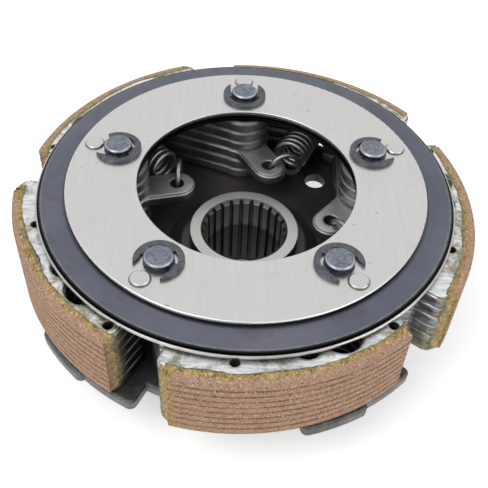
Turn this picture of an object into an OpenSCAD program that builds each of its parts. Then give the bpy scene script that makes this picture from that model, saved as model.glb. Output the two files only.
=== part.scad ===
// Five-shoe centrifugal wet clutch carrier: hub, base plate, pivot pins, laminated shoes with
// bonded lining, tension springs, side ring, dish spring and retaining plate.
// The origin is on the axis, at the lower end of the hub. Pin 1 is on +Y.

/* [Drum and shoes] */
// Inner diameter of the drum that the shoes swing out to
drum_d = 150; // [146:1:156]
// Angle that each shoe swings in from the drum at rest, in degrees
rest_swing = 4.05; // [3:0.05:4.5]
// Thickness of the friction lining with its adhesive
lining_t = 2.3; // [1.8:0.1:2.8]
// Height of the friction lining
lining_h = 24; // [22:0.5:25]
// Depth of the grooves in the lining
groove_depth = 0.25; // [0.1:0.05:0.5]
// Width of the grooves in the lining
groove_w = 0.8; // [0.4:0.1:1.2]
// Number of grooves round the lining
groove_count = 8; // [4:1:10]
// Thickness of one stamped shoe plate
plate_t = 4.25; // [3.8:0.05:4.5]
// Gap between two stamped plates
plate_gap = 0.05; // [0.03:0.01:0.1]
// Width of the rolled-over edges of each plate
edge_roll = 0.5; // [0.2:0.05:0.7]
// Height of the rolled-over edges of each plate
edge_drop = 0.7; // [0.3:0.1:1]
// Radius of the boss round each pivot
boss_r = 9.3; // [8.5:0.1:10]
// Depth of the shoe's rim, from its inner edge to the drum
rim_depth = 20; // [18:0.5:21]
// Angle from the pivot to the heel end of the rim
heel_angle = 17.6; // [16:0.2:19]
// Angle from the pivot to the free tip of the rim
tip_angle = 76.3; // [74:0.1:77]
// Radius of the rim's outer corners
corner_r = 2.6; // [1.5:0.1:4]
// How much later the lining starts than the rim
lining_start = 3; // [2:0.1:4]
// How much earlier the lining ends than the rim
lining_end = 1; // [0.5:0.1:2]

/* [Openings in the plates] */
// Diameter of the two locating holes
locating_d = 3; // [2:0.1:4]
// Diameter of the round lightening hole
lightening_d = 11; // [9:0.5:12]
// Diameter of the relief at the end of the spring notch
relief_d = 7.2; // [6:0.2:8]
// Width of the spring notch
notch_w = 14.4; // [14.2:0.1:15]

/* [Pivot pins and clips] */
// Diameter of the circle through the pivot pins
pin_circle_d = 87.8; // [86:0.2:90]
// Diameter of a pivot pin where the shoe turns on it
pivot_d = 12; // [11:0.1:13]
// Diameter of a pivot pin's neck and tail
pin_d = 9; // [8:0.1:9.4]
// Running clearance round a pivot pin, on the radius
pin_clear = 0.05; // [0.03:0.01:0.08]
// Height of a pivot pin above the retaining plate
pin_head_h = 2.5; // [2.2:0.1:3]
// Chamfer on the end of a pivot pin
pin_chamfer = 0.6; // [0.3:0.1:1]
// Outer diameter of the retaining clip
clip_od = 14.9; // [14.3:0.1:15.4]
// Thickness of the retaining clip
clip_t = 1; // [0.8:0.1:1.2]
// Diameter of the clip groove in the pin
neck_d = 7; // [6.4:0.1:7.4]
// Width of the mouth of the clip
clip_mouth = 9.8; // [9:0.1:10.4]

/* [Retaining plate] */
// Outer diameter of the retaining plate
top_od = 114; // [110:1:118]
// Diameter of the well through the retaining plate
well_d = 69.5; // [68:0.5:71]
// Thickness of the retaining plate
top_t = 1.2; // [1:0.1:1.6]
// Rounding of the retaining plate's edges
top_round = 0.4; // [0.2:0.1:0.5]
// Diameter of the raised buttons that keep the clips from turning
button_d = 6; // [5:0.2:6.6]
// Height of the raised buttons
button_h = 0.7; // [0.4:0.1:1]
// Radius of the circle through the buttons
button_circle_r = 52.2; // [51:0.1:53]

/* [Dish spring and side ring] */
// Outer diameter of the dish spring
dish_od = 130.4; // [128:0.2:132]
// Thickness of the dish spring
dish_t = 0.8; // [0.6:0.1:1]
// How far the dish spring falls from its inner to its outer edge
dish_fall = 1; // [0.6:0.1:1.4]
// Outer diameter of the side ring
side_od = 132.4; // [131:0.2:134]
// Inner diameter of the side ring
side_id = 70.4; // [69:0.2:74]
// Thickness of the side ring
side_t = 1.1; // [0.9:0.1:1.4]
// Running gap between the shoes and the side ring
side_gap = 0.9; // [0.4:0.1:1.2]

/* [Base plate and hub] */
// Thickness of the base plate
base_t = 3.5; // [3:0.1:4]
// Radius of the base plate between its lobes
base_r = 63.8; // [63:0.1:65]
// Radius of the lobe beyond each pivot pin
lobe_r = 71.7; // [70:0.1:72.5]
// Radius of the longer part of each lobe
lobe_far_r = 73.3; // [72.6:0.1:74]
// Rounding of the base plate's edges
base_round = 1; // [0.6:0.1:1.4]
// Diameter of the oil hole in the base plate
oil_hole_d = 7.6; // [6:0.2:9]
// Height of the raised centre of the base plate
dome_h = 3.2; // [2:0.2:4]
// Radius of the raised centre of the base plate
dome_r = 26; // [25:0.5:28]
// Thickness of the thrust washers under the shoes
washer_t = 0.4; // [0.3:0.05:0.45]
// Height of the hub's bright end face above the underside of the base plate
hub_h = 12.1; // [11:0.1:12.4]
// How far the hub reaches below the underside of the base plate
hub_drop = 20; // [10:0.5:24]
// Outer diameter of the hub
hub_d = 36.5; // [35:0.5:40]
// Wall of the hub outside the crests of the spline
hub_wall = 4.85; // [4:0.05:6]
// Depth of the spline grooves
spline_depth = 1; // [0.6:0.1:1.2]
// Width of the spline grooves
spline_w = 1.5; // [1:0.1:2]
// Number of spline grooves
spline_count = 24; // [18:1:26]
// Depth of the plain relief bore at the underside of the hub
relief_bore_depth = 3; // [2:0.5:4]

/* [Springs] */
// Diameter of the spring wire
wire_d = 1.9; // [1.6:0.1:2]
// Mean diameter of the coil
coil_d = 10.6; // [10:0.1:11]
// Rise of one turn of the coil
coil_pitch = 2.4; // [2.2:0.1:2.5]
// Number of full turns in the coil
coil_turns = 6; // [5:1:6]
// Diameter of the hook holes in the shoe plates
hook_hole_d = 5; // [4.6:0.1:5.4]

/* [Hidden] */
SHOES = 5;
STEP_ANGLE = 360 / SHOES;
$fn = 96;
EPS = 0.01;
// How far an edge that runs on to an arc starts inside that arc
SEAM = 0.04;

pin_r = pin_circle_d / 2;
shoe_bore_r = pivot_d / 2 + pin_clear;
neck_hole_r = pin_d / 2 + pin_clear;

// Levels, from the lower end of the hub
base_z = hub_drop;
base_top = base_z + base_t;
shoe_z = base_top + 0.5;
plates = 6;
plates_over = 3;
plates_under = 2;
shoe_h = plates * plate_t;
hook_z = shoe_z + plates_under * plate_t;
shoe_top = shoe_z + shoe_h;
rest_gap = 0.02;
side_z = shoe_top + side_gap;
dish_z = side_z + side_t + rest_gap;
top_z = dish_z + dish_t + dish_fall + rest_gap;
top_face = top_z + top_t;
pin_top = top_face + pin_head_h;

// Outer arc of the plates and lining. It is centred on the drum when the shoe is out.
plate_r = drum_d / 2 - lining_t;
arc_centre = [pin_r * (1 - cos(rest_swing)), -pin_r * sin(rest_swing)];
lining_r = drum_d / 2;
rim_in_r = drum_d / 2 - rim_depth;

// Shoe outline at rest, with its pivot on +X
boss_leave = 161;
throat_angle = 33.3;
web_mid_angle = 26;
heel_depth = 8;
heel_slope = 1.6;
heel_leave = 13;
scallop_gap = 3.9;

// Hook tab of the fourth plate
tab_hole = [pin_r - 16.5, -9];
tab_end = [pin_r - 16.7, -9.2];
tab_r = 5.9;
tab_upper_angle = 29.5;
tab_lower_angle = 31;
tab_upper_len = 10.6;
tab_lower_len = 12.5;

// Spring axis, in the frame of the shoe whose tab it hooks
spring_start = [pin_r - 8.8, -17.3];
spring_angle = -28;
spring_z = hook_z + plate_t / 2;
coil_r = coil_d / 2;
wire_r = wire_d / 2;
coil_len = coil_turns * coil_pitch;
hook_seat = hook_hole_d / 2 - wire_r - 0.62;
loop_swing = 45;
far_hole = [coil_len + 9.2, coil_r + 0.1];
far_tab_r = 5;
notch_len = coil_len + 3.1;
spring_sides = 8;
spring_step = 22.5;
tail_angle = 45;

// Round holes in the rim, as radius and angle at rest
locating_holes = [[66.5, 32.3], [66.9, 72.6]];
lightening_hole = [62.5, 59.7];

// Angle of the first spline groove
spline_turn = 2.7;

// Base plate lobes, as angles from the pivot pin
lobe_start = -6.5;
lobe_end = 8.4;
lobe_far_start = -23.5;
oil_hole = [43.7, 33 - STEP_ANGLE];

// Small geometry helpers
function polar(r, a) = [r * cos(a), r * sin(a)];
function turned(p, a) = [p[0] * cos(a) - p[1] * sin(a), p[0] * sin(a) + p[1] * cos(a)];
function outward(v) = [v[1], -v[0]] / norm(v);
function eased(t) = let (c = max(0, min(1, t))) c * c * (3 - 2 * c);

// A polygon, given anticlockwise, with each edge moved outward by g
function grown(p, g) = [
    for (i = [0 : len(p) - 1])
        let (
            before = p[(i + len(p) - 1) % len(p)],
            after = p[(i + 1) % len(p)],
            n1 = outward(p[i] - before),
            n2 = outward(after - p[i])
        )
        p[i] + g * (n1 + n2) / (1 + n1 * n2)
];

// Turns a child from the frame of shoe 1's pivot on +X to its real place round the axis
module at_shoe(i) {
    rotate(90 + (i - 1) * STEP_ANGLE) children();
}

// Points round a corner of radius c, from angle a0 to angle a1, then straight on past its end
function corner_points(centre, c, a0, a1) =
    let (
        arc = [for (t = [0 : 0.25 : 1]) centre + polar(c, a0 + t * (a1 - a0))],
        past = arc[3] + 4 * (arc[4] - arc[3])
    )
    [arc[0], arc[1], arc[2], arc[3], past];

function reversed(p) = [for (i = [len(p) - 1 : -1 : 0]) p[i]];

// A slice of a disc between two angles, with rounded outer corners, grown by g on every side
module rounded_slice(r, a0, a1, corner, g = 0) {
    inset = asin(corner / (r - corner));
    middle = (a0 + a1) / 2;
    apex = polar(-g / sin((a1 - a0) / 2), middle);
    first = corner_points(polar(r - corner, a0 + inset), corner + g, a0 - 90, a0 + inset);
    last = corner_points(polar(r - corner, a1 - inset), corner + g, a1 + 90, a1 - inset);
    intersection() {
        circle(r = r + g);
        polygon(concat([apex], first, [polar(r * 1.2, middle)], reversed(last)));
    }
}

// The slot that lets the neighbour's spring through, in the frame of this shoe
module spring_notch(g = 0) {
    rotate(STEP_ANGLE) translate(spring_start) rotate(spring_angle) {
        translate([-2 * coil_len, -notch_w / 2 + g]) square([2 * coil_len + notch_len, notch_w - 2 * g]);
        translate([notch_len, 0]) circle(r = notch_w / 2 - g - SEAM);
    }
}

// The eye for the neighbour's spring, standing into the notch of the hook plate
module spring_eye(r) {
    rotate(STEP_ANGLE) translate(spring_start) rotate(spring_angle) translate(far_hole) circle(r = r);
}

module hook_tab(g = 0) {
    upper = polar(tab_r - SEAM, tab_upper_angle + 90);
    lower = polar(tab_r - SEAM, tab_lower_angle - 90);
    translate(tab_end) {
        circle(r = tab_r + g);
        polygon(grown([
            lower,
            lower + polar(tab_lower_len, tab_lower_angle),
            [pin_r, 0] - tab_end,
            [pin_r, 0] + polar(boss_r - 8 * SEAM, boss_leave) - tab_end,
            upper + polar(tab_upper_len, tab_upper_angle),
            upper
        ], g));
    }
}

// Outline of a shoe plate at rest. The grow value moves every edge outward.
module plate_outline(g = 0, hooked = false) {
    leave = [pin_r, 0] + polar(boss_r - 8 * SEAM, boss_leave);
    heel = arc_centre + polar(plate_r - heel_depth, heel_angle - heel_slope);
    difference() {
        union() {
            difference() {
                translate(arc_centre) rounded_slice(plate_r, heel_angle, tip_angle, corner_r, g);
                circle(r = rim_in_r - g);
            }
            translate([pin_r, 0]) circle(r = boss_r + g);
            polygon(grown([
                [pin_r, 0] + polar(boss_r - 8 * SEAM, heel_leave),
                heel,
                arc_centre + polar(plate_r - heel_depth, web_mid_angle),
                polar(rim_in_r + 0.4, throat_angle),
                leave,
                [pin_r, 0]
            ], g));
            if (hooked) hook_tab(g);
        }
        rotate(STEP_ANGLE) translate([pin_r, 0]) circle(r = boss_r + scallop_gap - g);
        difference() {
            spring_notch(g);
            if (hooked) spring_eye(far_tab_r + g);
        }
        if (!hooked) spring_eye(relief_d / 2 - g);
        translate(polar(lightening_hole[0], lightening_hole[1])) circle(r = lightening_d / 2 - g);
    }
}

// Round holes through a shoe plate, for the pivot pin, the locating pins and the springs
module plate_holes(hooked) {
    translate([pin_r, 0, -1]) cylinder(r = shoe_bore_r, h = plate_t + 2);
    for (h = locating_holes)
        translate([h[0] * cos(h[1]), h[0] * sin(h[1]), -1]) cylinder(d = locating_d, h = plate_t + 2);
    if (hooked) {
        translate([tab_hole[0], tab_hole[1], -1]) cylinder(d = hook_hole_d, h = plate_t + 2);
        rotate(STEP_ANGLE) translate([spring_start[0], spring_start[1], -1]) rotate(spring_angle)
            translate(far_hole) cylinder(d = hook_hole_d, h = plate_t + 2);
    }
}

// One stamped plate: full outline at its middle, rolled-over edges above and below
module shoe_plate(hooked = false) {
    full_h = plate_t - plate_gap;
    difference() {
        union() {
            translate([0, 0, edge_drop]) linear_extrude(full_h - 2 * edge_drop) plate_outline(0, hooked);
            linear_extrude(full_h) plate_outline(-edge_roll, hooked);
        }
        plate_holes(hooked);
    }
}

module upper_plates(i) {
    color([0.62, 0.62, 0.64]) at_shoe(i)
        for (k = [0 : plates_over - 1])
            translate([0, 0, hook_z + (k + 1) * plate_t]) shoe_plate();
}

module hook_plate(i) {
    color([0.58, 0.58, 0.6]) at_shoe(i)
        translate([0, 0, hook_z]) shoe_plate(hooked = true);
}

module lower_plates(i) {
    color([0.55, 0.55, 0.57]) at_shoe(i)
        for (k = [0 : plates_under - 1])
            translate([0, 0, shoe_z + k * plate_t]) shoe_plate();
}

// Friction lining, with fine grooves round its outer face
module lining(i) {
    inner = plate_r + rest_gap;
    h = lining_h;
    spacing = h / (groove_count + 1);
    profile = concat(
        [[inner, 0], [lining_r, 0]],
        [
            for (k = [1 : groove_count])
                each [
                    [lining_r, k * spacing - groove_w / 2],
                    [lining_r - groove_depth, k * spacing - groove_w / 4],
                    [lining_r - groove_depth, k * spacing + groove_w / 4],
                    [lining_r, k * spacing + groove_w / 2]
                ]
        ],
        [[lining_r, h], [inner, h]]
    );
    start = heel_angle + lining_start;
    color([0.68, 0.5, 0.4]) at_shoe(i)
        translate([arc_centre[0], arc_centre[1], shoe_z + (shoe_h - lining_h) / 3])
            rotate(start) rotate_extrude(angle = tip_angle - lining_end - start, $fn = 180) polygon(profile);
}

// Centre line of a tension spring: its near loop, its coil, then its far loop.
// The first value runs along the axis, the second to the side and the third up.
near_seat = turned(tab_hole + polar(hook_seat, -90) - spring_start, -spring_angle);
near_centre = near_seat - polar(coil_r, 90 + loop_swing);
far_centre = [far_hole[0] - hook_seat, far_hole[1] - coil_r];
first_angle = -tail_angle;
coil_from = 360;
coil_to = coil_from + 360 * coil_turns;
last_angle = coil_to + 360 + tail_angle;

function coil_centre(a) =
    a < coil_from ? near_centre * eased((coil_from - a) / 200)
    : a <= coil_to ? [(a - coil_from) / 360 * coil_pitch, 0]
    : [coil_len, 0] + (far_centre - [coil_len, 0]) * eased((a - coil_to) / 320);

function coil_side(a) = polar(1, 90 + loop_swing * eased((coil_from - a) / 200));

function coil_out(a) = let (s = coil_side(a)) [s[0] * cos(a), s[1] * cos(a), sin(a)];

function coil_point(a) = let (c = coil_centre(a)) [c[0], c[1], 0] + coil_r * coil_out(a);

function wire_ring(a) =
    let (
        along = coil_point(a + 1) - coil_point(a - 1),
        t = along / norm(along),
        raw = coil_out(a) - t * (coil_out(a) * t),
        u = raw / norm(raw),
        v = cross(t, u)
    )
    [
        for (k = [0 : spring_sides - 1])
            coil_point(a) + wire_r * (u * cos(k * 360 / spring_sides) + v * sin(k * 360 / spring_sides))
    ];

module wire_sweep() {
    count = floor((last_angle - first_angle) / spring_step);
    points = [for (j = [0 : count]) each wire_ring(first_angle + j * spring_step)];
    sides = [
        for (j = [0 : count - 1], k = [0 : spring_sides - 1])
            let (
                a = j * spring_sides + k,
                b = j * spring_sides + (k + 1) % spring_sides
            )
            each [[a, a + spring_sides, b], [b, a + spring_sides, b + spring_sides]]
    ];
    start_cap = [for (k = [0 : spring_sides - 1]) k];
    end_cap = [for (k = [spring_sides - 1 : -1 : 0]) count * spring_sides + k];
    polyhedron(points, concat([start_cap], sides, [end_cap]));
}

module spring(i) {
    color([0.3, 0.3, 0.32]) at_shoe(i)
        translate([spring_start[0], spring_start[1], spring_z]) rotate(spring_angle) wire_sweep();
}

// Pivot pin: a bearing body between two shoulders, with a clip groove and chamfered ends
module pivot_pin(i) {
    r = pin_d / 2;
    neck = neck_d / 2;
    body = pivot_d / 2;
    color([0.45, 0.48, 0.55]) at_shoe(i) translate([pin_r, 0, 0])
        rotate_extrude() polygon([
            [0, base_z],
            [r - pin_chamfer, base_z],
            [r, base_z + pin_chamfer],
            [r, base_top + rest_gap],
            [body, base_top + rest_gap],
            [body, side_z - rest_gap],
            [r, side_z - rest_gap],
            [r, top_face],
            [neck, top_face],
            [neck, top_face + clip_t + 0.1],
            [r, top_face + clip_t + 0.1],
            [r, pin_top - pin_chamfer],
            [r - pin_chamfer, pin_top],
            [0, pin_top]
        ]);
}

// Retaining clip: an open ring whose three lugs grip the groove, mouth outward
module e_clip(i) {
    grip = neck_d / 2 + 0.02;
    pocket_r = clip_od / 2 - 1.9;
    lug_w = 3;
    color([0.36, 0.38, 0.42]) at_shoe(i) translate([pin_r, 0, top_face + 0.03])
        linear_extrude(clip_t) difference() {
            circle(d = clip_od);
            difference() {
                circle(r = pocket_r);
                for (a = [92, 180, 268])
                    rotate(a) translate([0, -lug_w / 2]) square([clip_od / 2, lug_w]);
            }
            circle(r = grip);
            translate([0.8, -clip_mouth / 2]) square([clip_od, clip_mouth]);
        }
}

// Flat retaining plate with rounded edges and one raised button outside each pin
module retaining_plate() {
    inner = well_d / 2;
    outer = top_od / 2;
    color([0.83, 0.82, 0.81]) difference() {
        union() {
            translate([0, 0, top_z]) rotate_extrude($fn = 180) {
                translate([inner + top_round, 0]) square([outer - inner - 2 * top_round, top_t]);
                translate([inner, top_round]) square([outer - inner, top_t - 2 * top_round]);
                for (x = [inner + top_round, outer - top_round], y = [top_round, top_t - top_round])
                    translate([x, y]) circle(r = top_round, $fn = 32);
            }
            for (i = [1 : SHOES])
                at_shoe(i) translate([button_circle_r, 0, top_face - EPS]) {
                    cylinder(d = button_d, h = button_h / 2 + EPS, $fn = 48);
                    translate([0, 0, button_h / 2 + EPS])
                        cylinder(d1 = button_d, d2 = button_d - button_h, h = button_h / 2, $fn = 48);
                }
        }
        for (i = [1 : SHOES])
            at_shoe(i) translate([pin_r, 0, top_z - 1]) cylinder(r = neck_hole_r, h = top_t + 2);
    }
}

// Conical dish spring, held down at its inner edge by the retaining plate
module dish_spring() {
    inner = well_d / 2 + 0.3;
    outer = dish_od / 2;
    color([0.41, 0.43, 0.47]) difference() {
        rotate_extrude($fn = 180) polygon([
            [inner, dish_z + dish_fall],
            [outer, dish_z],
            [outer, dish_z + dish_t],
            [inner, dish_z + dish_t + dish_fall]
        ]);
        for (i = [1 : SHOES])
            at_shoe(i) translate([pin_r, 0, dish_z - 1]) cylinder(r = pin_d / 2 + 0.4, h = 2 * dish_t + dish_fall + 1);
    }
}

// Flat side ring, carried by the shoulders of the pivot pins just clear of the shoes
module side_ring() {
    inner = side_id / 2;
    outer = side_od / 2;
    edge = 0.25;
    color([0.78, 0.77, 0.75]) difference() {
        translate([0, 0, side_z]) rotate_extrude($fn = 180) polygon([
            [inner, 0],
            [outer - edge, 0],
            [outer, edge],
            [outer, side_t - edge],
            [outer - edge, side_t],
            [inner, side_t]
        ]);
        for (i = [1 : SHOES])
            at_shoe(i) translate([pin_r, 0, side_z - 1]) cylinder(r = neck_hole_r, h = side_t + 2);
    }
}

module thrust_washers() {
    color([0.6, 0.58, 0.5])
        for (i = [1 : SHOES])
            at_shoe(i) translate([pin_r, 0, base_top + rest_gap]) difference() {
                cylinder(r = boss_r - 0.8, h = washer_t);
                translate([0, 0, -1]) cylinder(r = shoe_bore_r, h = washer_t + 2);
            }
}

// Outline of the base plate, moved inward by s
module base_outline(s = 0) {
    circle(r = base_r - s, $fn = 180);
    for (i = [1 : SHOES])
        at_shoe(i) {
            rounded_slice(lobe_r, lobe_far_start + 4, lobe_end, 2, -s);
            rounded_slice(lobe_far_r, lobe_far_start, lobe_start, 2, -s);
        }
}

// Pressed base plate with a raised centre for the hub
module base_plate() {
    hub_r = hub_d / 2;
    step = base_round / 2;
    color([0.47, 0.48, 0.48]) translate([0, 0, base_z]) difference() {
        union() {
            linear_extrude(base_t - step) base_outline();
            translate([0, 0, base_t - step - EPS]) linear_extrude(step + EPS) base_outline(step);
            translate([0, 0, base_t - EPS])
                cylinder(r1 = dome_r, r2 = hub_r + 3, h = dome_h + EPS);
        }
        translate([0, 0, -1]) cylinder(r = hub_r, h = base_t + dome_h + 2);
        translate([0, 0, -EPS]) cylinder(r1 = dome_r - 2, r2 = hub_r, h = dome_h);
        for (i = [1 : SHOES])
            at_shoe(i) translate([pin_r, 0, -1]) cylinder(r = pin_d / 2, h = base_t + 2);
        at_shoe(1) translate([oil_hole[0] * cos(oil_hole[1]), oil_hole[0] * sin(oil_hole[1]), -1])
            cylinder(d = oil_hole_d, h = base_t + 2);
    }
}

// Turned hub with an internal spline, a chamfered mouth and a plain relief bore below
module hub() {
    crest = hub_d / 2 - hub_wall;
    hub_top = base_z + hub_h;
    root = crest + spline_depth;
    mouth = 1.2;
    color([0.8, 0.79, 0.78]) difference() {
        cylinder(d = hub_d, h = hub_top, $fn = 180);
        translate([0, 0, -1]) cylinder(r = crest, h = hub_top + 2);
        for (k = [0 : spline_count - 1])
            rotate(spline_turn + k * 360 / spline_count)
                translate([0, 0, -1]) linear_extrude(hub_top + 2)
                    polygon([
                        [crest - 1, -spline_w / 2 - 0.2],
                        [root, -spline_w / 2 + 0.2],
                        [root, spline_w / 2 - 0.2],
                        [crest - 1, spline_w / 2 + 0.2]
                    ]);
        translate([0, 0, hub_top - mouth]) cylinder(r1 = crest, r2 = crest + mouth + EPS, h = mouth + EPS);
        translate([0, 0, -1]) cylinder(r = root + 0.3, h = relief_bore_depth + 1);
    }
}

hub();
base_plate();
thrust_washers();
retaining_plate();
dish_spring();
side_ring();
pivot_pin(1);  // pivot_pin_1
pivot_pin(2);  // pivot_pin_2
pivot_pin(3);  // pivot_pin_3
pivot_pin(4);  // pivot_pin_4
pivot_pin(5);  // pivot_pin_5
e_clip(1);  // e_clip_1
e_clip(2);  // e_clip_2
e_clip(3);  // e_clip_3
e_clip(4);  // e_clip_4
e_clip(5);  // e_clip_5
upper_plates(1);  // upper_plates_1
upper_plates(2);  // upper_plates_2
upper_plates(3);  // upper_plates_3
upper_plates(4);  // upper_plates_4
upper_plates(5);  // upper_plates_5
hook_plate(1);  // hook_plate_1
hook_plate(2);  // hook_plate_2
hook_plate(3);  // hook_plate_3
hook_plate(4);  // hook_plate_4
hook_plate(5);  // hook_plate_5
lower_plates(1);  // lower_plates_1
lower_plates(2);  // lower_plates_2
lower_plates(3);  // lower_plates_3
lower_plates(4);  // lower_plates_4
lower_plates(5);  // lower_plates_5
lining(1);  // lining_1
lining(2);  // lining_2
lining(3);  // lining_3
lining(4);  // lining_4
lining(5);  // lining_5
spring(1);  // spring_1
spring(2);  // spring_2
spring(3);  // spring_3
spring(4);  // spring_4
spring(5);  // spring_5
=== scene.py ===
"""Looks of the clutch carrier: camera, light, materials, smooth spring wire and adhesive."""
import math

import bpy
from mathutils import Matrix, Vector, noise

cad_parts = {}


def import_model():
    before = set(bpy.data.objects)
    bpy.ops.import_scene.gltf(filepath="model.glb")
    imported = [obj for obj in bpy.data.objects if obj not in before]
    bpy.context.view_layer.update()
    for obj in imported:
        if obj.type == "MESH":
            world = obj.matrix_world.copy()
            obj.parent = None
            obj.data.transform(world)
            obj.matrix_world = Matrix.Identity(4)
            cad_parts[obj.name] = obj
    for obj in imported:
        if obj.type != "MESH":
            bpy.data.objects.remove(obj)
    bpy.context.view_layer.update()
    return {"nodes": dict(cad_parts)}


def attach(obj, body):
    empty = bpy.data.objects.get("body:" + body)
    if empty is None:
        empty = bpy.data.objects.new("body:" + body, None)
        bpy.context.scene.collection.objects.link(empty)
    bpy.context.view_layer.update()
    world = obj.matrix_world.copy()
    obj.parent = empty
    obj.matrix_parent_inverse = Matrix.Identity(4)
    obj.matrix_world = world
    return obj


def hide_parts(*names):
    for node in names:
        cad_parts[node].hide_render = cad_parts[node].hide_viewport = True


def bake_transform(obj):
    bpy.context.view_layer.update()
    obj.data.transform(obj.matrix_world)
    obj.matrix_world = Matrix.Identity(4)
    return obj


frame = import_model()
NODES = frame["nodes"]
SHOES = 5
STEP = 72  # degrees from one shoe to the next
MM = 0.001

# Measures of the object, in mm and degrees, as in the part's source
HUB_DROP = 20.0
HUB_SHOULDER = HUB_DROP + 11.3
TOP_FACE = HUB_DROP + 34.54
SPLINE_R = 13.6
BORE_MOUTH_R = 14.75
PIN_R = 43.9
BUTTON_R = 52.2
RETAINING_R = 57.0
DISH_R = 65.2
REST_SWING = 4.05
DRUM_R = 75.0
PLATE_R = 72.7
HEEL_ANGLE = 17.6
TIP_ANGLE = 76.3
LINING_START = HEEL_ANGLE + 3
LINING_END = TIP_ANGLE - 1
CORNER_R = 2.6
SHOE_Z = HUB_DROP + 4.0
PLATE_T = 4.25
PLATE_GAP = 0.05
LINING_Z = (SHOE_Z + 0.5, SHOE_Z + 24.5)
LINING_BANDS = 9
SHOE_TOP = SHOE_Z + 6 * PLATE_T - PLATE_GAP

# Angles round the z axis at rest: of a pin, and of a lining's heel end on the first shoe
PIN_TURN = 54
HEEL_TURN = 36.3
TURN_MARGIN = 3.0

# Camera, from a fit of the photographed circles
IMAGE_PX = 488
FOCAL_PX = 780.8
ELEVATION = 42.0
DISTANCE = 248.4
ROLL = -3.208
AIM_PX = (-0.65, 65.05)
OBJECT_TURN = 3.3
SENSOR = 36.0

# Sockets of the Mix node in its colour mode
MIX_FACTOR, MIX_A, MIX_B, MIX_RESULT = 0, 6, 7, 2

BLACK = (0.012, 0.012, 0.012)
SHADOW = (0.03, 0.03, 0.032)


def shoe_angle(i):
    return math.radians(90 + STEP * (i - 1))


def in_row(x, y, z, i):
    """A point in the frame of shoe i, in mm, as a point of the row frame in metres."""
    a = shoe_angle(i)
    return Vector((x * math.cos(a) - y * math.sin(a), x * math.sin(a) + y * math.cos(a), z)) * MM


# Materials


def is_socket(value):
    return isinstance(value, bpy.types.NodeSocket)


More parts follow.
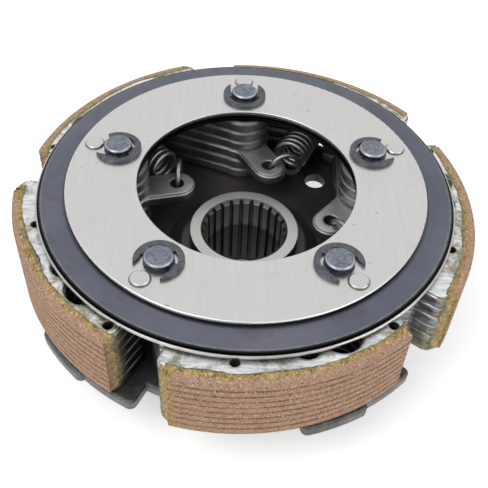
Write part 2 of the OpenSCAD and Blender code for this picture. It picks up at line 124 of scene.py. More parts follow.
class Nodes:
    """Small helper for building one node material."""

    def __init__(self, name):
        self.mat = bpy.data.materials.new(name)
        self.mat.use_nodes = True
        self.tree = self.mat.node_tree
        self.bsdf = self.tree.nodes["Principled BSDF"]
        self.coord = self.tree.nodes.new("ShaderNodeTexCoord").outputs["Object"]

    def put(self, socket, value):
        if is_socket(value):
            self.tree.links.new(value, socket)
        else:
            socket.default_value = value

    def add(self, kind, **inputs):
        n = self.tree.nodes.new("ShaderNode" + kind)
        for key, value in inputs.items():
            self.put(n.inputs[key], value)
        return n

    def noise(self, scale, detail=3.0, rough=0.55, stretch=(1, 1, 1), turn=(0, 0, 0)):
        m = self.add("Mapping", Vector=self.coord, Scale=stretch, Rotation=turn)
        n = self.add("TexNoise", Vector=m.outputs[0], Scale=scale, Detail=detail, Roughness=rough)
        return n.outputs["Fac"]

    def ramp(self, fac, *stops):
        n = self.add("ValToRGB", Fac=fac)
        e = n.color_ramp.elements
        while len(e) < len(stops):
            e.new(0.5)
        for el, (at, value) in zip(e, stops):
            el.position = at
            el.color = (value, value, value, 1)
        return n.outputs["Color"]

    def mix(self, fac, a, b):
        n = self.tree.nodes.new("ShaderNodeMix")
        n.data_type = "RGBA"
        self.put(n.inputs[MIX_FACTOR], fac)
        self.put(n.inputs[MIX_A], a if is_socket(a) else (*a, 1))
        self.put(n.inputs[MIX_B], b if is_socket(b) else (*b, 1))
        return n.outputs[MIX_RESULT]

    def math(self, op, a, b=0.0):
        n = self.tree.nodes.new("ShaderNodeMath")
        n.operation = op
        self.put(n.inputs[0], a)
        self.put(n.inputs[1], b)
        return n.outputs[0]

    def times(self, *factors):
        product = factors[0]
        for factor in factors[1:]:
            product = self.math("MULTIPLY", product, factor)
        return product

    def minus(self, a, b):
        return self.math("SUBTRACT", a, b)

    def mottle(self, fac, limits, low, high):
        """Colour from low to high as fac passes between two limits."""
        return self.mix(self.ramp(fac, (limits[0], 0.0), (limits[1], 1.0)), low, high)

    def xyz(self):
        return self.add("SeparateXYZ", Vector=self.coord).outputs

    def radius(self):
        """Distance from the z axis, in metres."""
        x, y, _ = self.xyz()
        return self.math("SQRT", self.math("ADD", self.times(x, x), self.times(y, y)))

    def by_radius(self, *stops):
        """Ramp over the distance from the z axis, with its stops in mm."""
        return self.ramp(self.times(self.radius(), 10.0), *((at / 100, value) for at, value in stops))

    def turn(self, start):
        """Angle round the z axis, from start degrees to the same place on the next shoe, as 0 to 1."""
        x, y, _ = self.xyz()
        angle = self.minus(self.math("ARCTAN2", y, x), math.radians(start))
        steps = self.math("DIVIDE", angle, math.radians(STEP))
        return self.math("FRACT", self.math("ADD", steps, float(SHOES)))

    def axis_distance(self, ring_mm):
        """Distance from the nearest of the five axes on a circle of this radius, in centimetres."""
        angle = self.times(self.minus(self.turn(PIN_TURN), 0.5), math.radians(STEP))
        r = self.times(self.radius(), 1000.0)
        cross = self.times(r, self.math("COSINE", angle), 2 * ring_mm)
        square = self.math("ADD", self.times(r, r), ring_mm * ring_mm)
        distance = self.math("SQRT", self.math("MAXIMUM", self.minus(square, cross)))
        return self.math("DIVIDE", distance, 10.0)

    def bump(self, height, strength, distance, normal=None):
        n = self.add("Bump", Height=height, Strength=strength, Distance=distance)
        if normal is not None:
            self.put(n.inputs["Normal"], normal)
        return n.outputs["Normal"]

    def rounded(self, radius):
        n = self.add("Bevel", Radius=radius)
        n.samples = 4
        return n.outputs["Normal"]

    def finish(self, color, metallic, rough, normal, specular=None):
        self.put(self.bsdf.inputs["Base Color"], color)
        self.put(self.bsdf.inputs["Metallic"], metallic)
        self.put(self.bsdf.inputs["Roughness"], rough)
        self.put(self.bsdf.inputs["Normal"], normal)
        if specular is not None:
            self.put(self.bsdf.inputs["Specular IOR Level"], specular)
        return self.mat


def steel(name, light, dark, edge=0.00015, painted_shadow_r=0.0):
    """Bare steel with a drawn grain, soft smudges and rounded edges, and a black painted shadow within the given
    radius, in mm, of the z axis.
    """
    m = Nodes(name)
    lines = m.noise(60, 4, 0.6, (1, 40, 1))
    smudge = m.noise(35, 4, 0.6)
    color = m.mottle(lines, (0.3, 0.7), dark, light)
    color = m.mix(m.ramp(smudge, (0.42, 0.0), (0.75, 0.45)), color, dark)
    # Painted shadow, black, inside the given radius: on the side ring, the shade under the dish's raised edge
    if painted_shadow_r:
        color = m.mix(m.math("LESS_THAN", m.radius(), painted_shadow_r * MM), color, BLACK)
    rough = m.ramp(m.noise(90, 3, 0.6), (0.3, 0.3), (0.7, 0.42))
    return m.finish(color, 1.0, rough, m.bump(lines, 0.15, 0.00004, m.rounded(edge)))


def retaining_plate_steel():
    """Bright flat steel: faint scuffs and nicks, a ring of painted shade round the foot of each button and a
    painted highlight along the outer rim.
    """
    m = Nodes("bright plate")
    grain = m.noise(80, 5, 0.65, (30, 1, 1), (0, 0, 0.25))
    scuffs = m.ramp(m.noise(110, 6, 0.7, (1, 2.2, 1)), (0.6, 0.0), (0.74, 0.7))
    color = m.mottle(grain, (0.25, 0.75), (0.585, 0.575, 0.57), (0.66, 0.65, 0.645))
    color = m.mix(m.times(scuffs, 0.35), color, (0.34, 0.33, 0.31))
    away = m.axis_distance(BUTTON_R)
    color = m.mix(m.ramp(away, (0.26, 0.6), (0.29, 0.0)), color, (0.59, 0.58, 0.57))
    # Painted shade round the foot of each raised button
    ring = m.ramp(away, (0.27, 0.0), (0.295, 0.85), (0.315, 0.85), (0.345, 0.0))
    color = m.mix(ring, color, (0.17, 0.165, 0.15))
    nicks = m.ramp(m.noise(330, 2, 0.5, (1, 2.5, 1), (0, 0, 0.7)), (0.72, 0.0), (0.75, 1.0))
    color = m.mix(m.times(nicks, 0.75), color, (0.16, 0.155, 0.15))
    # Painted highlight: a pale line along the plate's outer edge
    rim = m.by_radius((RETAINING_R - 0.35, 0.0), (RETAINING_R - 0.2, 0.8))
    color = m.mix(rim, color, (0.90, 0.90, 0.89))
    rough = m.ramp(m.noise(60, 4, 0.6), (0.3, 0.30), (0.7, 0.40))
    return m.finish(color, 1.0, rough, m.bump(grain, 0.06, 0.00003, m.rounded(0.0002)))


def blued_steel():
    """Blued ring: cloudy dark blue-grey, stained, with a painted shadow by the plate, a painted highlight in
    broken patches along its outer edge, and its outer edge and wall painted black as shade.
    """
    m = Nodes("blued spring")
    cloud = m.noise(28, 4, 0.6)
    color = m.mottle(cloud, (0.3, 0.7), (0.10, 0.107, 0.142), (0.16, 0.168, 0.205))
    stain = m.ramp(m.noise(75, 5, 0.7, (1, 1, 1), (0.3, 0.2, 0.5)), (0.55, 0.0), (0.68, 0.6))
    color = m.mix(stain, color, (0.105, 0.10, 0.09))
    # Painted shadow beside the retaining plate's edge
    color = m.mix(m.by_radius((RETAINING_R + 0.2, 0.7), (RETAINING_R + 1.1, 0.0)), color, SHADOW)
    # Painted highlight: a pale line along the outer edge, broken up by noise
    wear_and_highlight = m.ramp(m.noise(500, 4, 0.7), (0.35, 0.3), (0.6, 1.0))
    edge = m.by_radius((DISH_R - 0.8, 0.0), (DISH_R - 0.65, 0.8))
    color = m.mix(m.times(edge, wear_and_highlight), color, (0.46, 0.46, 0.46))
    # Painted shade: the outermost edge and wall of the ring black
    color = m.mix(m.by_radius((DISH_R - 0.48, 0.0), (DISH_R - 0.35, 1.0)), color, BLACK)
    fine = m.noise(900, 3, 0.6)
    rough = m.ramp(cloud, (0.3, 0.34), (0.7, 0.46))
    return m.finish(color, 0.85, rough, m.bump(fine, 0.08, 0.00003, m.rounded(0.00015)))


def oxide(name, low, high, speck, rim=0.0):
    """Black oxide with pale specks of wear. A pin's top also wears pale at its rim, which is rim cm from its axis;
    outside that rim the pin is painted near black as shade.
    """
    m = Nodes(name)
    cloud = m.noise(420, 5, 0.7)
    wear_and_highlight = m.ramp(m.noise(1500, 4, 0.7), (0.52, 0.0), (0.64, 1.0))
    color = m.mottle(cloud, (0.3, 0.7), low, high)
    color = m.mix(m.times(wear_and_highlight, speck), color, (0.36, 0.38, 0.43))
    if rim:
        ragged = m.times(m.minus(m.noise(900, 3, 0.7), 0.5), 0.03)
        away = m.math("ADD", m.axis_distance(PIN_R), ragged)
        edge = m.ramp(away, (rim - 0.05, 0.0), (rim - 0.025, 0.5), (rim, 0.5), (rim + 0.01, 0.0))
        color = m.mix(edge, color, (0.50, 0.52, 0.56))
        # Painted shade, near black, on the pin outside the rim of its top
        color = m.mix(m.ramp(away, (rim + 0.01, 0.0), (rim + 0.02, 0.8)), color, (0.02, 0.02, 0.022))
    rough = m.ramp(cloud, (0.3, 0.30), (0.7, 0.48))
    return m.finish(color, 0.9, rough, m.bump(cloud, 0.2, 0.00008, m.rounded(0.00018)))


def shoe_steel(name, tab):
    """Stamped plates: whitish and brushed on top, grey on the cut edges, dark inside the well, with painted shade
    at the end of each tip.

    tab is how much of a paler grey the flat faces have inside the well.
    """
    m = Nodes(name)
    normal = m.tree.nodes.new("ShaderNodeTexCoord").outputs["Normal"]
    up = m.add("SeparateXYZ", Vector=normal).outputs[2]
    flat = m.ramp(m.math("ABSOLUTE", up), (0.55, 0.0), (0.9, 1.0))

    grain = m.noise(150, 5, 0.7, (1, 9, 1), (0, 0, 0.8))
    top = m.mottle(grain, (0.34, 0.58), (0.50, 0.50, 0.51), (0.86, 0.87, 0.88))
    blotch = m.ramp(m.noise(70, 5, 0.7), (0.5, 0.0), (0.72, 1.0))
    top = m.mix(m.times(blotch, 0.35), top, (0.30, 0.30, 0.30))
    side = m.mottle(m.noise(260, 4, 0.65, (1, 1, 3)), (0.35, 0.65), (0.11, 0.11, 0.112), (0.40, 0.40, 0.405))
    outside = m.mix(flat, side, top)
    patches = m.ramp(m.noise(48, 5, 0.75, (1, 1, 1), (0.3, 0.1, 0.6)), (0.46, 0.0), (0.54, 1.0))
    stain = m.times(m.by_radius((61, 0.0), (66, 1.0)), patches, 0.8)
    outside = m.mix(stain, outside, (0.20, 0.18, 0.085))

    inside = m.mottle(m.noise(60, 4, 0.6), (0.35, 0.7), (0.15, 0.143, 0.14), (0.34, 0.33, 0.325))
    inside = m.mix(m.times(flat, tab), inside, (0.62, 0.62, 0.62))
    color = m.mix(m.by_radius((57.5, 0.0), (64.5, 1.0)), inside, outside)

    # Painted shade, near black, on the end of the tip, in the gap to the next shoe
    tip_end = m.ramp(m.turn(HEEL_TURN - TURN_MARGIN), (0.72, 0.0), (0.77, 1.0), (0.86, 1.0), (0.88, 0.0))
    deep = m.by_radius((52, 0.0), (56, 1.0), (64, 1.0), (67, 0.0))
    tip_gap_shade = m.times(tip_end, deep, m.minus(1.0, flat))
    color = m.mix(m.times(tip_gap_shade, 0.92), color, (0.012, 0.012, 0.013))

    rough = m.ramp(m.noise(120, 4, 0.65), (0.3, 0.34), (0.7, 0.52))
    height = m.mix(flat, (0.5, 0.5, 0.5), grain)
    return m.finish(color, 0.9, rough, m.bump(height, 0.35, 0.00008, m.rounded(0.0011)))


def base_steel():
    """Pressed plate: mid grey rim, near black round the hub."""
    m = Nodes("base plate")
    rim = m.mottle(m.noise(260, 5, 0.7), (0.35, 0.65), (0.085, 0.086, 0.086), (0.19, 0.192, 0.19))
    wear_and_highlight = m.ramp(m.noise(420, 5, 0.75), (0.62, 0.0), (0.72, 1.0))
    rim = m.mix(m.times(wear_and_highlight, 0.3), rim, (0.5, 0.5, 0.49))
    inner_tone = m.mix(m.noise(40, 4, 0.6), (0.072, 0.065, 0.064), (0.128, 0.117, 0.113))
    color = m.mix(m.by_radius((56, 0.0), (66, 1.0)), inner_tone, rim)
    rough = m.ramp(m.noise(80, 4, 0.6), (0.3, 0.34), (0.7, 0.52))
    return m.finish(color, 0.75, rough, m.bump(m.noise(500, 4, 0.7), 0.2, 0.0001, m.rounded(0.0008)))


def hub_steel():
    """Bright turned end face and a dark spline with painted shade in its grooves, darker still from the base plate
    down.
    """
    m = Nodes("hub")
    r = m.radius()
    turned_rings = m.math("SINE", m.times(r, 42000.0))
    bright = m.mottle(turned_rings, (0.2, 0.9), (0.50, 0.49, 0.475), (0.62, 0.61, 0.59))
    smudge = m.ramp(m.noise(60, 3, 0.6), (0.5, 0.0), (0.8, 0.3))
    bright = m.mix(smudge, bright, (0.4, 0.39, 0.37))
    z = m.xyz()[2]
    below_face = m.math("LESS_THAN", z, HUB_SHOULDER * MM)
    bore_zone = m.math("MAXIMUM", below_face, m.math("LESS_THAN", r, BORE_MOUTH_R * MM))
    crest = m.math("LESS_THAN", r, SPLINE_R * MM)
    # Painted shade: the spline's grooves darker than its crests
    flute = m.mix(crest, (0.11, 0.107, 0.105), (0.26, 0.25, 0.245))
    deep = m.ramp(m.times(z, 10.0), ((HUB_DROP + 0.2) / 100, 1.0), ((HUB_DROP + 1.0) / 100, 0.0))
    flute = m.mix(m.times(deep, 0.82), flute, (0.03, 0.03, 0.03))
    color = m.mix(bore_zone, bright, flute)
    rough = m.math("ADD", m.times(bore_zone, 0.2), 0.34)
    return m.finish(color, 1.0, rough, m.bump(turned_rings, 0.05, 0.00002, m.rounded(0.0003)))


def glue_color(m):
    """Mottled ochre with rust, dark and pale grains."""
    color = m.mottle(m.noise(520, 5, 0.8), (0.4, 0.58), (0.16, 0.115, 0.035), (0.50, 0.345, 0.12))
    rust = m.ramp(m.noise(240, 4, 0.7, (1, 1, 1), (0.2, 0.5, 0.3)), (0.5, 0.0), (0.64, 0.7))
    color = m.mix(rust, color, (0.40, 0.17, 0.07))
    fleck = m.ramp(m.noise(1300, 3, 0.7), (0.57, 0.0), (0.63, 1.0))
    color = m.mix(m.times(fleck, 0.8), color, (0.06, 0.045, 0.02))
    pale = m.ramp(m.noise(1200, 3, 0.7, (1, 1, 1), (0.7, 0.3, 0.1)), (0.57, 0.0), (0.63, 1.0))
    return m.mix(m.times(pale, 0.7), color, (0.82, 0.68, 0.36))


def lining_color(m):
    """Colour and height of the friction material: brown grain, painted shade along the grooves, dark specks, a
    film at the heel.
    """
    grain = m.noise(1500, 4, 0.8)
    coarse = m.noise(420, 5, 0.7, (1, 1, 3))
    color = m.mottle(grain, (0.40, 0.60), (0.22, 0.125, 0.075), (0.60, 0.395, 0.27))
    color = m.mix(m.ramp(coarse, (0.42, 0.0), (0.7, 0.5)), color, (0.48, 0.285, 0.18))

    z = m.xyz()[2]
    spacing = (LINING_Z[1] - LINING_Z[0]) / LINING_BANDS * MM
    phase = m.times(m.minus(z, LINING_Z[0] * MM), 2 * math.pi / spacing)
    # Painted shade along the lining's grooves, broken into patches
    groove_shade = m.ramp(m.math("COSINE", phase), (0.2, 0.0), (0.95, 1.0))
    below_top = m.math("LESS_THAN", z, (LINING_Z[1] - 1.2) * MM)
    patchy = m.ramp(m.noise(160, 4, 0.7), (0.36, 0.35), (0.6, 1.0))
    color = m.mix(m.times(groove_shade, below_top, patchy, 0.8), color, (0.15, 0.075, 0.05))

    dark = m.ramp(m.noise(1500, 2, 0.5), (0.62, 0.0), (0.66, 1.0))
    color = m.mix(m.times(dark, 0.9), color, (0.03, 0.02, 0.016))
    pale = m.ramp(m.noise(1700, 2, 0.5, (1, 1, 1), (0.4, 0.9, 0.2)), (0.62, 0.0), (0.67, 1.0))
    color = m.mix(m.times(pale, 0.6), color, (0.80, 0.66, 0.42))

    degrees = m.times(m.turn(HEEL_TURN - TURN_MARGIN), float(STEP))
    ragged = m.minus(degrees, m.times(m.noise(330, 4, 0.7), 1.6))
    film = m.ramp(m.math("DIVIDE", ragged, 10.0), (0.33, 1.0), (0.40, 0.0))
    color = m.mix(m.times(film, 0.75), color, glue_color(m))
    return color, m.math("ADD", grain, m.times(coarse, 0.6))


def lining_material():
    m = Nodes("friction lining")
    color, height = lining_color(m)
    return m.finish(color, 0.0, 0.78, m.bump(height, 0.6, 0.0002), specular=0.25)


def adhesive_material():
    """Adhesive bead: brown beside the lining, then ochre, then a thin olive film on the metal."""
    m = Nodes("adhesive")
    brown, _ = lining_color(m)
    side = m.tree.nodes.new("ShaderNodeAttribute")
    side.attribute_name = "side"
    ragged = m.times(m.minus(m.noise(600, 5, 0.8), 0.5), 1.1)
    at = m.math("ADD", side.outputs["Fac"], ragged)
    olive = m.mottle(m.noise(420, 4, 0.75), (0.4, 0.6), (0.10, 0.095, 0.04), (0.34, 0.31, 0.16))
    color = m.mix(m.ramp(at, (0.26, 0.0), (0.36, 1.0)), brown, glue_color(m))
    color = m.mix(m.ramp(at, (0.62, 0.0), (0.78, 1.0)), color, olive)
    return m.finish(color, 0.0, 0.5, m.bump(m.noise(1100, 4, 0.75), 0.9, 0.0004), specular=0.4)


def spring_material():
    m = Nodes("spring wire")
    grain = m.noise(700, 4, 0.65)
    color = m.mottle(grain, (0.35, 0.65), (0.26, 0.255, 0.25), (0.42, 0.415, 0.41))
    rough = m.ramp(grain, (0.3, 0.38), (0.7, 0.5))
    return m.finish(color, 1.0, rough, m.bump(grain, 0.1, 0.00004))


def dress(material, *prefixes):
    for name, obj in NODES.items():
        if name.startswith(prefixes):
            obj.data.materials.clear()
            obj.data.materials.append(material)


dress(hub_steel(), "hub")
dress(base_steel(), "base_plate")
dress(steel("washer steel", (0.4, 0.39, 0.36), (0.2, 0.2, 0.19)), "thrust_washers")
dress(retaining_plate_steel(), "retaining_plate")
dress(blued_steel(), "dish_spring")
# Satin side ring, with a black painted shadow just outside the dish's edge
dress(
    steel("satin ring", (0.60, 0.59, 0.57), (0.40, 0.39, 0.375), edge=0.00025, painted_shadow_r=DISH_R + 0.52),
    "side_ring",
)
dress(oxide("pin oxide", (0.10, 0.107, 0.135), (0.27, 0.285, 0.34), speck=0.7, rim=0.42), "pivot_pin")
dress(oxide("clip oxide", (0.065, 0.07, 0.08), (0.14, 0.147, 0.16), speck=0.25), "e_clip")
dress(shoe_steel("shoe plates", tab=0.0), "upper_plates", "lower_plates")
dress(shoe_steel("hook plates", tab=0.65), "hook_plate")
dress(lining_material(), "lining")


def mesh_object(name, verts, faces):
    """A smooth-shaded mesh in the scene, from points in metres."""
    mesh = bpy.data.meshes.new(name)
    mesh.from_pydata([tuple(v) for v in verts], [], faces)
    mesh.validate()
    mesh.update()
    obj = bpy.data.objects.new(name, mesh)
    bpy.context.scene.collection.objects.link(obj)
    for poly in mesh.polygons:
        poly.use_smooth = True
    return obj


# Spring wire, in mm and degrees, as in the part's source

HOOK_Z = SHOE_Z + 2 * PLATE_T
WIRE_R = 0.95
WIRE_SIDES = 12
COIL_R = 5.3
PITCH = 2.4
TURNS = 6
COIL_LEN = PITCH * TURNS
SPRING_START = (PIN_R - 8.8, -17.3)
SPRING_ANGLE = math.radians(-28)
SPRING_Z = HOOK_Z + PLATE_T / 2
HOOK_HOLE_R = 2.5
HOOK_SEAT = HOOK_HOLE_R - WIRE_R - 0.62
TAB_HOLE = (PIN_R - 16.5, -9.0)
FAR_HOLE = (COIL_LEN + 9.2, COIL_R + 0.1)
LOOP_SWING = math.radians(45)
TAIL = 45
PATH_STEP = 10
NEAR_EASE = 200
FAR_EASE = 320
END_LENGTH = 0.35  # of the wire's radius, past each end of the path
END_SCALE = 0.7


def turned(x, y, a):
    return (x * math.cos(a) - y * math.sin(a), x * math.sin(a) + y * math.cos(a))


def eased(t):
    c = max(0.0, min(1.0, t))
    return c * c * (3 - 2 * c)


def spring_path():
    """Centre line of a spring in its own frame, in mm."""
    start_x, start_y = SPRING_START
    seat = turned(TAB_HOLE[0] - start_x, TAB_HOLE[1] - HOOK_SEAT - start_y, -SPRING_ANGLE)
    swing = math.pi / 2 + LOOP_SWING
    near = (seat[0] - COIL_R * math.cos(swing), seat[1] - COIL_R * math.sin(swing))
    far = (FAR_HOLE[0] - HOOK_SEAT, FAR_HOLE[1] - COIL_R)
    start, stop = 360, 360 + 360 * TURNS
    points = []
    for a in range(-TAIL, stop + 360 + TAIL + 1, PATH_STEP):
        if a < start:
            e = eased((start - a) / NEAR_EASE)
            cx, cy = near[0] * e, near[1] * e
        elif a <= stop:
            cx, cy = (a - start) / 360 * PITCH, 0.0
        else:
            e = eased((a - stop) / FAR_EASE)
            cx, cy = COIL_LEN + (far[0] - COIL_LEN) * e, far[1] * e
        side = math.pi / 2 + LOOP_SWING * eased((start - a) / NEAR_EASE)
        c, s = math.cos(math.radians(a)), math.sin(math.radians(a))
        points.append((cx + COIL_R * c * math.cos(side), cy + COIL_R * c * math.sin(side), COIL_R * s))
    return points


def wire_rings(path, radius):
    """Cross-sections of a round wire along a path: centre, direction, side and radius. Its ends narrow."""
    n = len(path)
    rings = []
    up = None
    for j, p in enumerate(path):
        t = (path[min(j + 1, n - 1)] - path[max(j - 1, 0)]).normalized()
        if up is None:
            up = t.orthogonal().normalized()
        up = (up - t * up.dot(t)).normalized()
        rings.append((p, t, up.copy(), radius))
    reach, narrow = radius * END_LENGTH, radius * END_SCALE
    p, t, u, _ = rings[0]
    rings.insert(0, (p - t * reach, t, u, narrow))
    p, t, u, _ = rings[-1]
    rings.append((p + t * reach, t, u, narrow))
    return rings


def tube(name, rings, sides):
    """A closed tube through the given cross-sections."""
    verts, faces = [], []
    for p, t, u, r in rings:
        v = t.cross(u)
        for k in range(sides):
            a = 2 * math.pi * k / sides
            verts.append(p + u * (r * math.cos(a)) + v * (r * math.sin(a)))
    for j in range(len(rings) - 1):
        for k in range(sides):
            a, b = j * sides + k, j * sides + (k + 1) % sides
            faces.append((a, b, b + sides, a + sides))
    faces.append(tuple(range(sides - 1, -1, -1)))
    faces.append(tuple((len(rings) - 1) * sides + k for k in range(sides)))
    return mesh_object(name, verts, faces)


def spring_point(x, y, z, i):
    """A point of spring i, given in the spring's own frame in mm, as a point of the row frame in metres."""
    px, py = turned(x, y, SPRING_ANGLE)
    return in_row(px + SPRING_START[0], py + SPRING_START[1], z + SPRING_Z, i)


# Each spring is in two halves that meet at its middle turn
wire = spring_material()
for i in range(1, SHOES + 1):
    rings = wire_rings([spring_point(x, y, z, i) for x, y, z in spring_path()], WIRE_R * MM)
    half = len(rings) // 2
    neighbour = (i - 2) % SHOES + 1
    halves = (("near", rings[: half + 1], i, 0.0), ("far", rings[half:], neighbour, COIL_LEN))
    for part, cut, shoe, end in halves:
        coil = tube(f"spring_wire_{i}_{part}", cut, WIRE_SIDES)
        coil.data.materials.append(wire)
        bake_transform(coil)
        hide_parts(f"spring_{i}")


# Adhesive, squeezed out along the top and at both ends of each lining

ARC_CENTRE = turned(-PIN_R, 0.0, math.radians(REST_SWING))
ARC_CENTRE = (ARC_CENTRE[0] + PIN_R, ARC_CENTRE[1])
TOP_SIDES = (0.0, 0.1, 0.25, 0.42, 0.52, 0.68, 0.9, 1.0)
TOP_COUNT = 160
TOP_PAST_HEEL = 0.9
TOP_PAST_TIP = 0.3
TOP_TAPER = 0.4
END_SIDES = (0.1, 0.3, 0.42, 0.5, 0.65, 0.85, 1.0)
END_COUNT = 90
END_Z = (LINING_Z[0] - 0.2, SHOE_TOP - 0.1)
END_THICK = 1.5
FILM_THICK = 0.15
SUNK = -0.4
SEAM_DIP = 0.45
SEAM_WIDTH = 0.7
CORNER_PART = 0.93  # of the corner's radius that the film goes down into
EDGE_DROP = 0.85


def wave(t, seed, k=1.0):
    """Smooth random value from 0 to 1 along a bead."""
    return 0.5 + 0.5 * noise.noise(Vector((t * k, seed * 7.31, 0.5)))


def arc_point(r, a, z, i):
    """A point at radius r and angle a, in degrees, round the centre of the outer arc of shoe i."""
    x = ARC_CENTRE[0] + r * math.cos(math.radians(a))
    y = ARC_CENTRE[1] + r * math.sin(math.radians(a))
    return in_row(x, y, z, i)


def stations(count):
    """Steps 0 to count with the first and last given twice, and whether a step closes the bead's end."""
    for n, j in enumerate((0, *range(count + 1), count)):
        yield j / count, n in (0, count + 2)


def bead_object(name, rows, sides, flip):
    """A strip of quads over rows of points, with the value of sides stored across it."""
    m = len(sides)
    faces = []
    for j in range(len(rows) // m - 1):
        for k in range(m - 1):
            a, b = j * m + k, j * m + k + 1
            faces.append((a, b, b + m, a + m) if flip else (a, a + m, b + m, b))
    obj = mesh_object(name, rows, faces)
    attribute = obj.data.attributes.new("side", "FLOAT", "POINT")
    attribute.data.foreach_set("value", [sides[n % m] for n in range(len(rows))])
    return obj


def adhesive_top(i):
    """Wavy bead where the adhesive is squeezed out over the top of the lining and the top plate."""
    rows = []
    low = LINING_Z[1]
    first, last = LINING_START - TOP_PAST_HEEL, LINING_END + TOP_PAST_TIP
    for along, closing in stations(TOP_COUNT):
        a = first + (last - first) * along
        width = 2.6 * wave(a, i, 0.11) ** 2 + 0.5 * wave(a, i + 9, 1.1)
        lump = 0.12 * wave(a, i + 3, 2.3)
        profile = (
            (DRUM_R - 0.5, low - 0.03),
            (DRUM_R - 0.9, low + 0.12 + lump),
            (PLATE_R + 0.7, low + 0.25 + lump),
            (PLATE_R + 0.15, low + 0.55 + lump),
            (PLATE_R - 0.35, SHOE_TOP + 0.03 + lump),
            (PLATE_R - 0.45 - 0.45 * width, SHOE_TOP + 0.05 + lump),
            (PLATE_R - 0.5 - width, SHOE_TOP + 0.02),
            (PLATE_R - 0.6 - width, SHOE_TOP - 0.25),
        )
        past = max(0.0, LINING_START - a, a - LINING_END)
        keep = max(0.0, 1 - past / TOP_TAPER)
        highest = low - 0.1 if closing else SHOE_TOP + 1
        for r, z in profile:
            on_plate = PLATE_R + 0.3 + (r - PLATE_R) * keep
            rows.append(arc_point(min(r, on_plate), a, min(z, highest), i))
    return bead_object(f"adhesive_top_{i}", rows, TOP_SIDES, False)


def adhesive_end(i, angle, sign):
    """Ragged film on the rim beside the lining, down into the rounded corner of the plates.

    sign is -1 at the heel and 1 at the tip.
    """
    rows = []
    low, high = END_Z
    across = len(END_SIDES) - 1
    plate_end = HEEL_ANGLE if sign < 0 else TIP_ANGLE
    corner_from = PLATE_R * math.radians(abs(plate_end - angle)) - CORNER_R
    for along, closing in stations(END_COUNT):
        z = low + (high - low) * along
        layer = (z - SHOE_Z + PLATE_GAP) / PLATE_T
        seam = abs(layer - round(layer)) * PLATE_T
        dip = SEAM_DIP * max(0.0, 1 - seam / SEAM_WIDTH)
        reach = 2.0 + 2.2 * wave(z, i * 3 + sign, 0.5) + 0.5 * wave(z, i + 20, 2.0)
        reach = min(reach, corner_from + CORNER_PART * CORNER_R)
        for k in range(across + 1):
            t = k / across
            into = max(0.0, reach * t - corner_from)
            corner = CORNER_R - math.sqrt(CORNER_R ** 2 - into ** 2)
            thick = SUNK if closing else END_THICK * (1 - t) ** 2 + FILM_THICK
            r = PLATE_R - corner + thick * (0.85 + 0.3 * wave(z, i + k, 1.1)) - dip * (0.3 + t)
            if k == across:
                r -= EDGE_DROP
            rows.append(arc_point(r, angle + sign * math.degrees(reach * t / PLATE_R), z, i))
    end = "heel" if sign < 0 else "tip"
    return bead_object(f"adhesive_end_{i}_{end}", rows, END_SIDES, sign > 0)


glue = adhesive_material()
for i in range(1, SHOES + 1):
    for bead in (adhesive_top(i), adhesive_end(i, LINING_START, -1), adhesive_end(i, LINING_END, 1)):
        bead.data.materials.append(glue)
        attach(bead, f"shoe_{i}")


# Stage

FLOOR_SIZE = 3.0
FLOOR_Z = -0.0002
FLOOR_GLOW = 0.38
AIM = Vector((0, 0, 0.02))


def white_rays(tree):
    """One for the rays of the camera, of reflections and of clear parts, nothing for the rest."""
    path = tree.nodes.new("ShaderNodeLightPath")
    value = path.outputs["Is Camera Ray"]
    for name in ("Is Glossy Ray", "Is Transmission Ray"):
        larger = tree.nodes.new("ShaderNodeMath")
        larger.operation = "MAXIMUM"
        tree.links.new(value, larger.inputs[0])
        tree.links.new(path.outputs[name], larger.inputs[1])
        value = larger.outputs[0]
    return value


def floor():
    """Plain pale floor, just under the part, that glows a little for white_rays."""
    mesh = bpy.data.meshes.new("floor")
    s = FLOOR_SIZE
    mesh.from_pydata([(-s, -s, 0), (s, -s, 0), (s, s, 0), (-s, s, 0)], [], [(0, 1, 2, 3)])
    obj = bpy.data.objects.new("floor", mesh)
    bpy.context.scene.collection.objects.link(obj)
    obj.location.z = FLOOR_Z
    mat = bpy.data.materials.new("floor")
    mat.use_nodes = True
    tree = mat.node_tree
    bsdf = tree.nodes["Principled BSDF"]
    bsdf.inputs["Base Color"].default_value = (0.92, 0.92, 0.92, 1)
    bsdf.inputs["Roughness"].default_value = 0.9
    bsdf.inputs["Specular IOR Level"].default_value = 0.0
    bsdf.inputs["Emission Color"].default_value = (1, 1, 1, 1)
    glow = tree.nodes.new("ShaderNodeMath")
    glow.operation = "MULTIPLY"
    tree.links.new(white_rays(tree), glow.inputs[0])
    glow.inputs[1].default_value = FLOOR_GLOW
    tree.links.new(glow.outputs[0], bsdf.inputs["Emission Strength"])
    mesh.materials.append(mat)


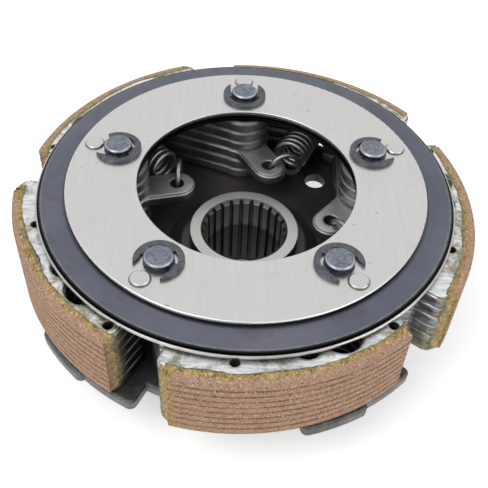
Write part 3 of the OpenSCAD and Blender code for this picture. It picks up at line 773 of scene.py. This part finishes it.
def world():
    """Soft grey surroundings as light, and plain white for white_rays."""
    w = bpy.data.worlds.new("studio")
    bpy.context.scene.world = w
    w.use_nodes = True
    tree = w.node_tree
    back = tree.nodes["Background"]
    coord = tree.nodes.new("ShaderNodeTexCoord")
    split = tree.nodes.new("ShaderNodeSeparateXYZ")
    tree.links.new(coord.outputs["Generated"], split.inputs[0])
    ramp = tree.nodes.new("ShaderNodeValToRGB")
    tree.links.new(split.outputs["Z"], ramp.inputs["Fac"])
    e = ramp.color_ramp.elements
    e[0].position, e[0].color = 0.0, (0.35, 0.35, 0.36, 1)
    e[1].position, e[1].color = 1.0, (0.62, 0.62, 0.63, 1)
    e.new(0.45).color = (0.80, 0.80, 0.80, 1)
    mix = tree.nodes.new("ShaderNodeMix")
    mix.data_type = "RGBA"
    tree.links.new(white_rays(tree), mix.inputs[MIX_FACTOR])
    tree.links.new(ramp.outputs["Color"], mix.inputs[MIX_A])
    mix.inputs[MIX_B].default_value = (1, 1, 1, 1)
    tree.links.new(mix.outputs[MIX_RESULT], back.inputs["Color"])
    back.inputs["Strength"].default_value = 1.0


def area(name, place, size, power):
    """Rectangular light, aimed at the part."""
    data = bpy.data.lights.new(name, "AREA")
    data.shape = "RECTANGLE"
    data.size, data.size_y = size
    data.energy = power
    obj = bpy.data.objects.new(name, data)
    bpy.context.scene.collection.objects.link(obj)
    obj.location = place
    obj.rotation_euler = (AIM - Vector(place)).to_track_quat("-Z", "Y").to_euler()


def camera():
    """Camera at the fitted place, in the row frame."""
    el = math.radians(ELEVATION)
    back = Vector((0, -math.cos(el), math.sin(el)))
    right = Vector((1, 0, 0))
    up = back.cross(right)
    pan, tilt = math.atan2(AIM_PX[0], FOCAL_PX), math.atan2(AIM_PX[1], FOCAL_PX)
    panned = Matrix.Rotation(pan, 3, "Y")
    tilted = Matrix.Rotation(-tilt, 3, "X")
    rolled = Matrix.Rotation(math.radians(ROLL), 3, "Z")
    rows = rolled @ tilted @ panned @ Matrix((right, up, -back))
    spin = Matrix.Rotation(math.radians(-OBJECT_TURN), 3, "Z")
    axes = spin @ Matrix((rows[0], rows[1], -rows[2])).transposed()
    data = bpy.data.cameras.new("camera")
    data.sensor_width = SENSOR
    data.lens = FOCAL_PX / IMAGE_PX * SENSOR
    data.clip_start, data.clip_end = 0.01, 20.0
    obj = bpy.data.objects.new("camera", data)
    place = spin @ (back * DISTANCE + Vector((0, 0, TOP_FACE))) * MM
    obj.matrix_world = Matrix.Translation(place) @ axes.to_4x4()
    bpy.context.scene.collection.objects.link(obj)
    bpy.context.scene.camera = obj


floor()
world()
area("key", (-0.45, -0.35, 0.8), (0.5, 0.5), 3.0)
area("fill", (0.7, -0.4, 0.4), (0.6, 0.5), 1.5)
camera()

bpy.context.scene.view_settings.view_transform = "Standard"
